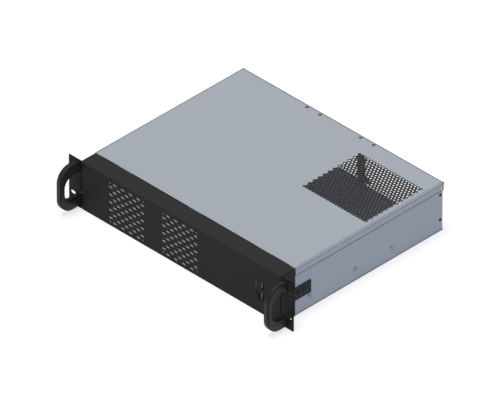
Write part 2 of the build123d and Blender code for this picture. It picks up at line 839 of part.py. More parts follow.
def slot_cover_screws():
    """One screw for each blank plate."""
    made = []
    for index in range(card_count):
        seat = (card_x(index), panel_back + blank_steel, blank_screw_z)
        length = blank_steel + steel + screw_tail
        one = screw(seat, (0, -1, 0), tapped_radius, small_head_radius, small_head_height, length, False)
        made.append(one)
    return made


def standoffs():
    """Tapped hexagon pillars for the main board."""
    made = []
    back = panel_back - steel - board_to_panel
    for x in board_columns:
        for row, y in enumerate(board_rows):
            inset = board_first_row if row == 0 and x == board_columns[0] else y
            place = Pos(board_edge_x - board_inset + x, back - inset, steel)
            hexagon = RegularPolygon(standoff_across / 2, 6, major_radius=False)
            pillar = extrude(hexagon, standoff_height)
            pillar -= Cylinder(tapped_radius, 3 * standoff_height)
            made.append(place * pillar)
    return made


def psu_stop():
    """Angle on the floor that the power supply is pushed against."""
    mid = steel + steel / 2
    plane = Plane(origin=(stop_x[0], 0, 0), x_dir=(0, 1, 0), z_dir=(1, 0, 0))
    line = [(stop_y - stop_foot, mid), (stop_y, mid), (stop_y, steel + stop_height)]
    angle = folded(plane, line, steel, bend_inside, stop_x[1] - stop_x[0])
    for x in stop_screw_xs():
        angle -= rod((x, stop_screw_y(), 0), (0, 0, 1), screw_radius + screw_clearance, 4 * steel)
    return angle


def stop_screw_xs():
    """Places of the stop screws across the case."""
    return stop_x[0] + bracket_screw_inset, stop_x[1] - bracket_screw_inset


def stop_screw_y():
    """Place of the stop screws along the case."""
    return stop_y - stop_foot / 2


def floor_screw(x, y):
    """Pan head screw that clamps a foot to the floor, down to the underside of the floor."""
    seat = (x, y, 2 * steel)
    length = 2 * steel
    return screw(seat, (0, 0, -1), screw_radius, screw_head_radius, screw_head_height, length, False)


def drive_bracket():
    """Bridge for one drive: a slotted top on two legs with feet."""
    mid = steel + steel / 2
    top = steel + drive_height
    left, right = drive_x
    line = [
        (left - drive_foot, mid),
        (left, mid),
        (left, top),
        (right, top),
        (right, mid),
        (right + drive_foot, mid),
    ]
    length = drive_y[1] - drive_y[0]
    bridge = Pos(0, drive_y[0], 0) * folded(Plane.XZ, line, steel, bend_inside, -length)
    slots = Sketch() + [place * SlotOverall(*drive_slot) for place in GridLocations(*drive_slot_pitch, 2, 2)]
    middle = ((left + right) / 2, sum(drive_y) / 2, top - 2 * steel)
    bridge -= punched(Plane(origin=middle), slots, 4 * steel)
    for x, y in drive_screw_places():
        bridge -= rod((x, y, 0), (0, 0, 1), screw_radius + screw_clearance, 4 * steel)
    return bridge


def drive_screw_places():
    """Four screws through the feet of the drive bracket."""
    xs = (drive_x[0] - drive_foot / 2, drive_x[1] + drive_foot / 2)
    ys = (drive_y[0] + bracket_screw_inset, drive_y[1] - bracket_screw_inset)
    return [(x, y) for x in xs for y in ys]


def floor_holes():
    """Tapped holes of the floor for the standoffs' bolts and the bracket screws."""
    places = [(x, stop_screw_y()) for x in stop_screw_xs()] + drive_screw_places() + arm_screw_places()
    return Part() + [rod((x, y, -1), (0, 0, 1), screw_radius + thread_gap, steel + 1) for x, y in places]


def io_arm():
    """Bracket from the floor that carries the connector board behind the bezel."""
    mid = steel + steel / 2
    plane = Plane(origin=(board_x[0], 0, 0), x_dir=(0, 1, 0), z_dir=(1, 0, 0))
    back = board_y + board_thickness + steel / 2
    line = [(back + arm_foot, mid), (back, mid), (back, board_z[1])]
    arm = folded(plane, line, steel, bend_inside, board_x[1] - board_x[0])
    for x, y in arm_screw_places():
        arm -= rod((x, y, 0), (0, 0, 1), screw_radius + screw_clearance, 4 * steel)
    side, end = arm_border
    span = (board_x[0] + side, board_x[1] - side)
    return arm - block(span, (back - steel, back + steel), (board_z[0] + end, board_z[1] - end))


def arm_screw_places():
    """Two screws through the foot of the connector bracket."""
    y = board_y + board_thickness + arm_screw_setback
    return [(board_x[0] + arm_screw_inset, y), (board_x[1] - arm_screw_inset, y)]


def io_board():
    """Small circuit board behind the sockets and buttons."""
    return block(board_x, (board_y, board_y + board_thickness), board_z)


def usb_shell(z):
    """Folded metal shell of one socket, open at the front."""
    wide, high = port_opening
    front = -0.2
    outer = block((port_x - wide / 2 - port_wall, port_x + wide / 2 + port_wall), (front, board_y),
                  (z - high / 2 - port_wall, z + high / 2 + port_wall))
    inner = block((port_x - wide / 2, port_x + wide / 2), (front - 1, front + port_depth),
                  (z - high / 2, z + high / 2))
    return outer - inner


def usb_tongue(z):
    """Contact tongue inside a socket, fixed to its back wall."""
    thin, high = tongue_size
    x = port_x - tongue_offset
    back = port_depth - 0.2
    return block((x - thin / 2, x + thin / 2), (back - tongue_depth, back), (z - high / 2, z + high / 2))


def power_button():
    """Round cap with a flange behind the bezel and a plunger to its switch."""
    inside = bezel_steel + button_gap
    length = button_proud + inside + button_flange
    cap = rod((button_x, -button_proud, button_z), (0, 1, 0), button_radius, length)
    rim = [edge for edge in cap.edges() if edge.center().Y < -button_proud + 0.01]
    cap = fillet(rim, 0.6)
    cap += rod((button_x, inside, button_z), (0, 1, 0), button_radius + 1.2, button_flange)
    reach = board_y - switch_body[1] - button_travel - inside
    return cap + rod((button_x, inside, button_z), (0, 1, 0), plunger_radius, reach)


def switch(x, z):
    """Push switch on the connector board."""
    half = switch_body[0] / 2
    return block((x - half, x + half), (board_y - switch_body[1], board_y), (z - half, z + half))


def reset_button():
    """Small pin button, almost flush, with a flange behind the bezel."""
    inside = bezel_steel + button_gap
    pin = rod((reset_x, -reset_proud, reset_z), (0, 1, 0), reset_radius, reset_proud + inside + button_flange)
    pin += rod((reset_x, inside, reset_z), (0, 1, 0), reset_radius + 0.9, button_flange)
    reach = board_y - switch_body[1] - reset_travel - inside
    return pin + rod((reset_x, inside, reset_z), (0, 1, 0), plunger_radius, reach)


def indicator_lens():
    """Smoked window in front of the indicator lights, with a flange behind the bezel."""
    front = Plane(origin=(lens_x, 0, lens_z), x_dir=(1, 0, 0), z_dir=(0, -1, 0))
    window = extrude(front * SlotOverall(lens_height, lens_width, rotation=90), -bezel_steel)
    behind = front.offset(-bezel_steel)
    outline = SlotOverall(lens_height + 2 * lens_flange, lens_width + 2 * lens_flange, rotation=90)
    return window + extrude(behind * outline, -lens_flange)


def indicator_lights():
    """Two lamps on the connector board, behind the lens."""
    made = []
    for end in (-1, 1):
        start = (lens_x, board_y, lens_z + end * light_pitch / 2)
        body = rod(start, (0, -1, 0), light_radius, board_y - bezel_steel - lens_flange - light_length)
        made.append(body)
    return made


def main():
    """Makes and writes every piece."""
    save("chassis_tray", chassis_tray() - floor_holes())
    save("rear_panel", rear_panel())
    save("top_cover", top_cover())
    save("front_bezel", front_bezel())
    ear = right_ear()
    save("right_ear", ear)
    save("left_ear", mirrored(ear))
    handle = right_handle()
    save("right_handle", handle)
    save("left_handle", mirrored(handle))
    save("handle_screws", *handle_screws())
    save("ear_screws", *ear_screws())
    save("rear_panel_screws", *rear_panel_screws())
    save("cover_screws", *cover_screws())
    save("cover_nuts", *cover_nuts())
    for side, x in zip(("left", "right"), vent_centres):
        save(f"{side}_filter_screen", filter_screen(x))
        save(f"{side}_filter_frame", filter_frame(x))
    for index in range(card_count):
        save(f"slot_cover_{index + 1}", slot_cover(index))
    save("slot_cover_screws", *slot_cover_screws())
    save("board_standoffs", *standoffs())
    save("psu_stop", psu_stop())
    save("psu_stop_screws", *[floor_screw(x, stop_screw_y()) for x in stop_screw_xs()])
    save("drive_bracket", drive_bracket())
    save("drive_bracket_screws", *[floor_screw(x, y) for x, y in drive_screw_places()])
    save("connector_bracket", io_arm())
    save("connector_bracket_screws", *[floor_screw(x, y) for x, y in arm_screw_places()])
    save("connector_board", io_board())
    for name, z in zip(("lower", "upper"), port_zs):
        save(f"{name}_socket_shell", usb_shell(z))
        save(f"{name}_socket_tongue", usb_tongue(z))
    save("power_button", power_button())
    save("power_switch", switch(button_x, button_z))
    save("reset_button", reset_button())
    save("reset_switch", switch(reset_x, reset_z))
    save("indicator_lens", indicator_lens())
    save("indicator_lights", *indicator_lights())


main()
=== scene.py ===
# %% [markdown]
# # Empty rackmount server case
# The metal case of a server, two rack units high: a folded steel tray, a cover that slides off
# to the back, a black front with two slotted windows, and two ears with handles. The CAD model
# gives every place and size in metres. Here each visible piece gets the form and the finish of
# the real one.

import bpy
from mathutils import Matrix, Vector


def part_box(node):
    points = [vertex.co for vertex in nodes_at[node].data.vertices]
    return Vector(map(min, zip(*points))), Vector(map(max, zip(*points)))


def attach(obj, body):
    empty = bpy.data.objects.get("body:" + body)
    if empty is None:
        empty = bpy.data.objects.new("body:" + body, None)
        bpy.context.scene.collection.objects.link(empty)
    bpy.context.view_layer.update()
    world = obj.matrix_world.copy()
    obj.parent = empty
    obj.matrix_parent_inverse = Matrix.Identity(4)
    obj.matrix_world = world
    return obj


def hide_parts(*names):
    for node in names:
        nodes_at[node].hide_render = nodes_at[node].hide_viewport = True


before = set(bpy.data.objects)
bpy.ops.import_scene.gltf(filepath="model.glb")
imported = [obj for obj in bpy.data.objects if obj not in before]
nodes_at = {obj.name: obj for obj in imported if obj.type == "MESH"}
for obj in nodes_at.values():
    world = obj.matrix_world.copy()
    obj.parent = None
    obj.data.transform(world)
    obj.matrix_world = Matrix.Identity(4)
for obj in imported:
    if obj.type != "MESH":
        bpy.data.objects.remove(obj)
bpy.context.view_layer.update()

# %% Blender, and the pieces of the CAD model
from math import cos, pi, radians, sin

import bpy
import mathutils

mm = 0.001    # one millimetre in metres
print("pieces in the CAD model:", len(nodes_at))


# %% [markdown]
# ## Camera
# The photograph is an equal-angle view: all three edges of the case run at thirty degrees or
# upright, with no convergence. A very long lens from far away gives the same picture and still
# works for every other view. The front top right corner of the bezel is the point that the
# framing was measured from.

# %% Camera
view_width = 0.7616        # metres across the picture at the case
lens = 1200.0
sensor = 36.0
distance = view_width * lens / sensor
target = mathutils.Vector((-0.003915, -0.002071, 0.04455))
azimuth, elevation = radians(45), radians(35.264)
towards = mathutils.Vector((
    sin(azimuth) * cos(elevation), -cos(azimuth) * cos(elevation), sin(elevation)))

camera_data = bpy.data.cameras.new("camera")
camera_data.lens = lens
camera_data.sensor_width = sensor
camera_data.clip_start = 1.0
camera_data.clip_end = 100.0
camera = bpy.data.objects.new("camera", camera_data)
bpy.context.scene.collection.objects.link(camera)
camera.location = target + towards * distance
camera.rotation_euler = (-towards).to_track_quat("-Z", "Y").to_euler()
bpy.context.scene.camera = camera
print("camera distance in metres:", round(distance, 2))


# %% [markdown]
# ## Small helpers for materials
# Colours are written as hex values, as a paint chart gives them, and turned to linear numbers
# in one place. One small function adds a node with its settings and links, another joins an
# output to an input, and the last one gives a finish to pieces of the CAD model.

# %% Colour and node helpers
def colour(hex_code):
    channels = [int(hex_code[i:i + 2], 16) / 255 for i in (1, 3, 5)]
    linear = [c / 12.92 if c <= 0.04045 else ((c + 0.055) / 1.055) ** 2.4 for c in channels]
    return (*linear, 1.0)


def join_nodes(material, output, node, socket):
    material.node_tree.links.new(output, node.inputs[socket])


def add_node(material, kind, settings=None, **links):
    node = material.node_tree.nodes.new(kind)
    for name, value in (settings or {}).items():
        if name in node.inputs:
            node.inputs[name].default_value = value
        else:
            setattr(node, name, value)
    for name, output in links.items():
        join_nodes(material, output, node, name)
    return node


def new_material(name, base, metallic, roughness, ior=1.5):
    material = bpy.data.materials.new(name)
    material.use_nodes = True
    shader = material.node_tree.nodes["Principled BSDF"]
    shader.inputs["Base Color"].default_value = colour(base)
    shader.inputs["Metallic"].default_value = metallic
    shader.inputs["Roughness"].default_value = roughness
    if metallic < 1:
        shader.inputs["IOR"].default_value = ior
    return material, shader


def dress(material, *names):
    for name in names:
        finishes = nodes_at[name].data.materials
        finishes.clear()
        finishes.append(material)
    print(material.name, "on", ", ".join(names))


print("mid grey in linear light:", round(colour("#808080")[0], 3))


# %% [markdown]
# ## Powder-coated steel, grey
# Tray, cover and rear panel are cold-rolled sheet with a baked grey powder coat. To the eye it
# is an even, slightly blue grey with a soft sheen, and close up the coat has a fine pebbled
# skin. The skin is about a millimetre from bump to bump, and the tone drifts very slightly
# over a hand's width, as on a sprayed panel. A picture of paint would have to be laid on each
# face. Noise that is measured in metres needs no laying on and has one scale on every piece.
# Beside each fold a darker grey is painted as shade, which is a second material.

# %% Powder coats
mix_first, mix_second, mix_result = 6, 7, 2    # where the Mix node keeps its colour sockets
cloud_size, skin_size, skin_depth = 110 * mm, 1.1 * mm, 0.05 * mm


def blend(material, factor, first, second):
    mix = add_node(material, "ShaderNodeMix", {"data_type": "RGBA"})
    mix.inputs[mix_first].default_value = colour(first)
    mix.inputs[mix_second].default_value = colour(second)
    join_nodes(material, factor, mix, 0)
    return mix.outputs[mix_result]


def spots(material, kind, size, settings=None):
    place = add_node(material, "ShaderNodeTexCoord").outputs["Object"]
    return add_node(material, kind, {"Scale": 1 / size, **(settings or {})}, Vector=place)


def bumpy(material, shader, height, strength, depth):
    settings = {"Strength": strength, "Distance": depth}
    relief = add_node(material, "ShaderNodeBump", settings, Height=height)
    join_nodes(material, relief.outputs["Normal"], shader, "Normal")


def powder_coat(name, base, darker, roughness, bump, gloss=0.5):
    coat, shader = new_material(name, base, 0.0, roughness)
    shader.inputs["Specular IOR Level"].default_value = gloss
    cloud = spots(coat, "ShaderNodeTexNoise", cloud_size, {"Detail": 3.0})
    join_nodes(coat, blend(coat, cloud.outputs["Fac"], base, darker), shader, "Base Color")
    skin = spots(coat, "ShaderNodeTexNoise", skin_size, {"Detail": 2.0})
    bumpy(coat, shader, skin.outputs["Fac"], bump, skin_depth)
    return coat


grey_paint = ("#A9B1B6", "#A4ACB2")
grey_skin = (0.45, 0.25)    # roughness, and strength of the bumps
grey_coat = powder_coat("powder-coated steel grey", *grey_paint, *grey_skin)
# the darker grey is painted shade in bands beside the folds
fold_shade_coat = powder_coat("grey coat, darker along the folds as painted shade", "#50555C", "#4A4F56", *grey_skin)
print("made:", grey_coat.name, "and", fold_shade_coat.name)

# %% [markdown]
# ## Masks
# One sheet of the real case has more than one finish: paint outside, a thin grey layer inside,
# bare steel at the edges. Separate pieces would break the sheet up, so the material chooses by
# place and direction. A mask is a number that is one where a finish belongs and zero elsewhere.
# Masks are built from simple comparisons and joined, and a colour is then laid over the old one.
# The two sides of the case are alike, so a mask measures the distance from its middle.

# %% Masks and layers
def compare(material, value, operation, limit):
    test = add_node(material, "ShaderNodeMath", {"operation": operation})
    test.inputs[1].default_value = limit
    join_nodes(material, value, test, 0)
    return test.outputs[0]


def join_masks(material, masks, operation):
    result = masks[0]
    for mask in masks[1:]:
        both = add_node(material, "ShaderNodeMath", {"operation": operation})
        join_nodes(material, result, both, 0)
        join_nodes(material, mask, both, 1)
        result = both.outputs[0]
    return result


def all_of(material, masks):
    return join_masks(material, masks, "MULTIPLY")


def any_of(material, masks):
    return join_masks(material, masks, "MAXIMUM")


def between(material, value, low, high):
    return all_of(material, [compare(material, value, "GREATER_THAN", low),
                             compare(material, value, "LESS_THAN", high)])


def axis_value(material, source, axis):
    place = add_node(material, "ShaderNodeTexCoord").outputs[source]
    return add_node(material, "ShaderNodeSeparateXYZ", Vector=place).outputs[axis]


def outwards(material, source):
    size = add_node(material, "ShaderNodeMath", {"operation": "ABSOLUTE"})
    join_nodes(material, axis_value(material, source, "X"), size, 0)
    return size.outputs[0]


def paint_over(material, mask, top):
    shader = material.node_tree.nodes["Principled BSDF"]
    layer = add_node(material, "ShaderNodeMix", {"data_type": "RGBA"})
    join_nodes(material, mask, layer, 0)
    join_nodes(material, shader.inputs["Base Color"].links[0].from_socket, layer, mix_first)
    if isinstance(top, str):
        layer.inputs[mix_second].default_value = colour(top)
    else:
        join_nodes(material, top, layer, mix_second)
    join_nodes(material, layer.outputs[mix_result], shader, "Base Color")

# %% [markdown]
# ## Inside of the case
# Only the outside is painted in full. The inside keeps its thin grey layer of zinc phosphate and
# lies in shade, which together with the painted shade on the punched block makes the view through
# it dark. Tray and rear panel are each one folded sheet, so one material has both finishes and
# chooses by direction: a surface that faces the middle of the case is inside. Along the lowest edge
# of the sides and the cut edge at the back a dark line is painted, which stands for the shade at
# these edges.

# %% Painted outside, phosphate inside
phosphate_grey = ("#A4A8AE", "#979BA1")
# dark grey for lines along the lowest and rear edges, painted shade
painted_shade_dark = "#2A2C30"
floor_edge = 213 * mm    # from the middle of the case to where the floor turns up into a side


def faces_middle(material, middle):
    place = add_node(material, "ShaderNodeTexCoord").outputs
    outward = add_node(material, "ShaderNodeVectorMath", {"operation": "SUBTRACT"})
    outward.inputs[1].default_value = middle
    join_nodes(material, place["Object"], outward, 0)
    facing = add_node(material, "ShaderNodeVectorMath", {"operation": "DOT_PRODUCT"})
    join_nodes(material, outward.outputs[0], facing, 0)
    join_nodes(material, place["Normal"], facing, 1)
    return compare(material, facing.outputs["Value"], "LESS_THAN", 0.0)


def two_sided_coat(name, middle, low_shade_line, rear_shade_line):
    coat = powder_coat(name, *grey_paint, *grey_skin)
    grain = spots(coat, "ShaderNodeTexNoise", 4 * mm, {"Detail": 4.0})
    phosphate_tone = blend(coat, grain.outputs["Fac"], *phosphate_grey)
    paint_over(coat, faces_middle(coat, middle), phosphate_tone)
    # the dark lines along the lowest and rear edges are painted shade
    low_shade = all_of(coat, [
        compare(coat, outwards(coat, "Object"), "GREATER_THAN", floor_edge),
        compare(coat, axis_value(coat, "Object", "Z"), "LESS_THAN", low_shade_line)])
    rear_shade = compare(coat, axis_value(coat, "Object", "Y"), "GREATER_THAN", rear_shade_line)
    paint_over(coat, any_of(coat, [low_shade, rear_shade]), painted_shade_dark)
    return coat


# %% [markdown]
# ## Pressed rims of the rail holes
# The three screw holes for rails in each side lie in small pressed cones. The cones get a bright
# steel colour, which is a painted highlight, and the dark ring round each is painted shade. The
# cones are found by their slope: no other surface at that height of the tray leans outwards. The
# rings are found by their distance from the middle of each hole.

# %% Cones with a painted highlight, and rings of painted shade
rail_holes = ((0.0845, 0.0225), (0.0045, 0.0225), (-0.0935, 0.0225))    # y and z in the CAD model
ring_radii = (3.2 * mm, 4.2 * mm)
cone_slopes = (0.4, 0.95)    # how far the surface faces outwards, from 0 to 1
cones_end = 0.15             # metres: behind this lie only the folds of the rear
# the bright cones are a painted highlight, and the dark rings are painted shade
cone_highlight_grey, ring_shade_grey = "#D2D6DC", "#4E535B"


def shade_ring_mask(coat):
    place = add_node(coat, "ShaderNodeTexCoord").outputs["Object"]
    flat = add_node(coat, "ShaderNodeVectorMath", {"operation": "MULTIPLY"})
    flat.inputs[1].default_value = (0, 1, 1)
    join_nodes(coat, place, flat, 0)
    rings = []
    for y, z in rail_holes:
        away = add_node(coat, "ShaderNodeVectorMath", {"operation": "DISTANCE"})
        away.inputs[1].default_value = (0, y, z)
        join_nodes(coat, flat.outputs[0], away, 0)
        rings.append(between(coat, away.outputs["Value"], *ring_radii))
    return any_of(coat, rings)


def paint_cones_light_and_shade(coat, low, high):
    cones = all_of(coat, [
        between(coat, outwards(coat, "Normal"), *cone_slopes),
        between(coat, axis_value(coat, "Object", "Z"), low, high),
        compare(coat, axis_value(coat, "Object", "Y"), "LESS_THAN", cones_end)])
    paint_over(coat, cones, cone_highlight_grey)
    paint_over(coat, shade_ring_mask(coat), ring_shade_grey)


# %% [markdown]
# ## Tray, rear panel and brackets
# The tray gets the two-sided coat, its dark lines of painted shade along the edges, and the cones
# with their painted highlight and shade. The rear panel has the same coat without a dark rear line.
# The brackets and the pans of the filters are never seen from outside, and makers leave such pieces
# in their phosphate. The darkest grey is painted shade on the punched block of the cover and on its
# cut edges.

# %% Tray, rear panel and brackets
tray_low, tray_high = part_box("chassis_tray")
tray_middle = tuple((a + b) / 2 for a, b in zip(tray_low, tray_high))
tray_coat = two_sided_coat(
    "tray coat", tray_middle, low_shade_line=2.8 * mm, rear_shade_line=tray_high[1] - 1.0 * mm)
paint_cones_light_and_shade(tray_coat, low=17 * mm, high=28 * mm)
dress(tray_coat, "chassis_tray")
beyond_case = 1.0
rear_coat = two_sided_coat(
    "rear panel coat", tray_middle, low_shade_line=2.0 * mm, rear_shade_line=beyond_case)
dress(rear_coat, "rear_panel")
phosphate = powder_coat("phosphate-coated steel", *phosphate_grey, roughness=0.6, bump=0.2)
# the darkest grey is painted shade on the punched block and the lowest strips of the cover
edge_shade_coat = powder_coat("punched block and cut edges, dark as painted shade", painted_shade_dark, "#232528", roughness=0.5, bump=0.2)
dress(phosphate, "psu_stop", "drive_bracket", "connector_bracket", "left_filter_frame",
      "right_filter_frame")

# %% [markdown]
# ## Front, black
# The front and the ears have a matt black powder coat. Along each fold and each cut end a darker
# line about a millimetre wide is painted as shade, which draws the outline of the front. The lines
# are boxes in the material, measured from the CAD pieces: each box has a low and a high corner, and
# None where it has no limit.

# %% Black coat with dark edges
# the darker black draws lines of painted shade along folds and edges
front_black, shade_line_black = ("#343433", "#313130"), "#101011"
front_low, front_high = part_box("front_bezel")
ear_low, ear_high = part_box("right_ear")
line = 0.8 * mm
rear_shade_line = 1.2 * mm
any_place = (None, None, None)
at_front = (None, front_low[1] + line, None)
lines = {
    "front_bezel": (
        ((None, None, front_high[2] - line), at_front),
        ((front_high[0] - line, None, None), at_front),
        ((front_high[0] - line, None, front_high[2] - line), any_place),
        ((None, front_high[1] - rear_shade_line, None), any_place)),
    "right_ear": (
        ((ear_high[0] - line, None, None), any_place),
        ((None, None, ear_high[2] - line), any_place),
        (any_place, (None, None, line)),
        (any_place, (ear_low[0] + line, None, None)),
        ((None, ear_high[1] - line, None), any_place))}
lines["left_ear"] = lines["right_ear"]


def in_box(material, low, high):
    places = (outwards(material, "Object"), axis_value(material, "Object", "Y"),
              axis_value(material, "Object", "Z"))
    limits = [("GREATER_THAN", place, a) for place, a in zip(places, low)]
    limits += [("LESS_THAN", place, b) for place, b in zip(places, high)]
    return all_of(material, [compare(material, place, operation, limit)
                             for operation, place, limit in limits if limit is not None])


for name, boxes in lines.items():
    coat = powder_coat(name + " black coat", *front_black, roughness=0.6, bump=0.5, gloss=0.08)
    paint_over(coat, any_of(coat, [in_box(coat, *box) for box in boxes]), shade_line_black)
    dress(coat, name)
print("dark line on the front in mm:", round(line / mm, 2))

# %% [markdown]
# ## Bare and plated metals
# Zinc plating on the blank plates has a soft grain of crystals a few millimetres wide, each a
# little lighter or darker than its neighbour, which a texture of random cells gives. Screws
# and nuts have the same plating on turned metal, where it is finer and brighter. The board
# standoffs are turned brass, and the socket shells are dark nickel. All are true metals, so
# their colour is their reflection, and the roughness does most of the work.

# %% Metals
def metal(name, bright, dull, roughness, grain, kind="ShaderNodeTexNoise"):
    finish, shader = new_material(name, bright, 1.0, roughness)
    crystals = spots(finish, kind, grain)
    tone = crystals.outputs["Fac" if kind == "ShaderNodeTexNoise" else "Color"]
    join_nodes(finish, blend(finish, tone, bright, dull), shader, "Base Color")
    return finish


zinc_sheet = metal("zinc-plated sheet", "#C9CCD0", "#B3B7BC", roughness=0.34, grain=3.0 * mm,
                   kind="ShaderNodeTexVoronoi")
dress(zinc_sheet, "slot_cover_1", "slot_cover_2", "slot_cover_3", "slot_cover_4")
zinc = metal("zinc-plated screws", "#C4C7CA", "#A8ABAF", roughness=0.3, grain=0.8 * mm)
dress(zinc, "cover_nuts")
brass = metal("turned brass", "#A8946A", "#93805A", roughness=0.3, grain=1.5 * mm)
dress(brass, "board_standoffs")
nickel = metal("dark nickel", "#2E3040", "#242634", roughness=0.45, grain=1.0 * mm)
black_zinc = metal("black-plated screws", "#35353A", "#28282C", roughness=0.38, grain=0.8 * mm)

# %% [markdown]
# ## Filter screens
# Behind every slot of the front stands a fine woven metal screen. From a normal distance it
# reads as one even light grey. Close up it is wires about half a millimetre apart. Modelled
# wires would be many thousands of tiny tubes, so two crossed bands give them instead, in the
# colour and in the bump.

# %% Filter mesh
wire_pitch, wire_relief = 0.55 * mm, 0.1 * mm


def filter_mesh():
    weave, shader = new_material("woven filter mesh", "#A9ABB4", 0.0, 0.6)
    place = add_node(weave, "ShaderNodeTexCoord").outputs["Object"]
    scale = 2 * pi / 20 / wire_pitch    # a wave texture has 20 / (2 pi) bands per unit at scale 1
    crossing = add_node(weave, "ShaderNodeMath", {"operation": "MULTIPLY"})
    for index, way in enumerate(("X", "Z")):
        settings = {"Scale": scale, "bands_direction": way}
        wire = add_node(weave, "ShaderNodeTexWave", settings, Vector=place)
        join_nodes(weave, wire.outputs["Fac"], crossing, index)
    tone = blend(weave, crossing.outputs[0], "#D6D6D8", "#B4B4B8")
    join_nodes(weave, tone, shader, "Base Color")
    bumpy(weave, shader, crossing.outputs[0], 0.6, wire_relief)
    return weave


dress(filter_mesh(), "left_filter_screen", "right_filter_screen")

# %% [markdown]
# ## Plastics, board and lamps
# Small moulded parts have a fine spark-eroded texture, finer than a tenth of a millimetre
# deep. The circuit board is glass cloth under a green mask. The smoked window is tinted
# acrylic: mostly dark, with a clear reflection, and the lamps behind it show faintly.

# %% Plastics
low_gloss = 0.15


def moulded(name, base, darker, roughness, grain=0.3 * mm, bump=0.2, gloss=0.5):
    plastic, shader = new_material(name, base, 0.0, roughness)
    shader.inputs["Specular IOR Level"].default_value = gloss
    noise = spots(plastic, "ShaderNodeTexNoise", grain, {"Detail": 3.0})
    join_nodes(plastic, blend(plastic, noise.outputs["Fac"], base, darker), shader, "Base Color")
    bumpy(plastic, shader, noise.outputs["Fac"], bump, 0.03 * mm)
    return plastic


button_plastic = moulded("black button plastic", "#161617", "#121213", 0.5, gloss=low_gloss)
dress(button_plastic, "power_switch", "reset_switch")
tongue_plastic = moulded("pale socket plastic", "#7C849E", "#727A94", 0.4)
board = moulded("green circuit board", "#1E5B3A", "#174C30", 0.3, grain=1.2 * mm, bump=0.3)
dress(board, "connector_board")
lamps = moulded("lamp epoxy", "#8E4A55", "#7C3D49", 0.2, grain=2.0 * mm, bump=0.05)
dress(lamps, "indicator_lights")


def smoked_acrylic():
    acrylic, shader = new_material("smoked acrylic", "#241A20", 0.0, 0.2, ior=1.49)
    shader.inputs["Specular IOR Level"].default_value = low_gloss
    shader.inputs["Transmission Weight"].default_value = 0.35
    haze = spots(acrylic, "ShaderNodeTexNoise", 6 * mm)
    tone = blend(acrylic, haze.outputs["Fac"], "#1E1518", "#160F12")
    join_nodes(acrylic, tone, shader, "Base Color")
    return acrylic


dress(smoked_acrylic(), "indicator_lens")


# %% [markdown]
# ## Helpers for shaping metal
# Every new piece starts as a primitive at its real place and is shaped like a sheet in a workshop:
# edges are picked by where they are, pulled out into flanges, rounded, thickened and punched. These
# few helpers keep the steps short. The last two finish a piece: it gets its material and its body,
# the CAD node that it stands for is hidden, and some of its faces may get a second finish.

# %% Shaping helpers
def clear_selection():
    if bpy.context.object and bpy.context.object.mode != "OBJECT":
        bpy.ops.object.mode_set(mode="OBJECT")
    bpy.ops.object.select_all(action="DESELECT")


def apply_place():
    bpy.ops.object.transform_apply(location=True, rotation=True, scale=True)


def near(a, b):
    return abs(a - b) < 0.02 * mm


def block(name, low, high):
    clear_selection()
    middle = [(a + b) / 2 for a, b in zip(low, high)]
    size = [b - a for a, b in zip(low, high)]
    bpy.ops.mesh.primitive_cube_add(size=1, location=middle, scale=size)
    apply_place()
    bpy.context.object.name = name
    return bpy.context.object


def pick(piece, kind, test):
    bpy.context.view_layer.objects.active = piece
    bpy.ops.object.mode_set(mode="EDIT")
    bpy.ops.mesh.select_mode(type=kind)
    bpy.ops.mesh.select_all(action="DESELECT")
    bpy.ops.object.mode_set(mode="OBJECT")
    points = piece.data.vertices
    for part in piece.data.edges if kind == "EDGE" else piece.data.polygons:
        part.select = all(test(points[i].co) for i in part.vertices)
    bpy.ops.object.mode_set(mode="EDIT")


def pull(x, y, z):
    bpy.ops.mesh.extrude_region_move(TRANSFORM_OT_translate={"value": (x, y, z)})


def widen(x, y, z, **centre):
    bpy.ops.transform.resize(value=(x, y, z), **centre)


def split(piece, point, normal, **settings):
    bpy.context.view_layer.objects.active = piece
    bpy.ops.object.mode_set(mode="EDIT")
    bpy.ops.mesh.select_all(action="SELECT")
    bpy.ops.mesh.bisect(plane_co=point, plane_no=normal, **settings)
    bpy.ops.object.mode_set(mode="OBJECT")


def modify(piece, kind, **settings):
    clear_selection()
    bpy.context.view_layer.objects.active = piece
    step = piece.modifiers.new(kind.lower(), kind)
    for name, value in settings.items():
        setattr(step, name, value)
    bpy.ops.object.modifier_apply(modifier=step.name)


def cut(piece, cutter):
    modify(piece, "BOOLEAN", operation="DIFFERENCE", object=cutter, solver="MANIFOLD")
    bpy.data.objects.remove(cutter)


# %% Joining and finishing helpers
def join_pieces(first, others):
    clear_selection()
    for piece in (first, *others):
        piece.select_set(True)
    bpy.context.view_layer.objects.active = first
    bpy.ops.object.join()


def face_outwards():
    bpy.ops.mesh.select_all(action="SELECT")
    bpy.ops.mesh.normals_make_consistent(inside=False)


def finish_piece(piece, material, node, body, smooth=35):
    clear_selection()
    bpy.context.view_layer.objects.active = piece
    piece.select_set(True)
    bpy.ops.object.mode_set(mode="EDIT")
    face_outwards()
    bpy.ops.object.mode_set(mode="OBJECT")
    bpy.ops.object.shade_smooth_by_angle(angle=radians(smooth))
    piece.data.materials.clear()
    piece.data.materials.append(material)
    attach(piece, body)
    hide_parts(node)
    print(piece.name, "faces:", len(piece.data.polygons))
    return piece


def second_finish(piece, material, test):
    piece.data.materials.append(material)
    index = len(piece.data.materials) - 1
    for face in piece.data.polygons:
        if test(face.center, face.normal):
            face.material_index = index
    print(piece.name, "has", material.name, "on", sum(
        face.material_index == index for face in piece.data.polygons), "faces")


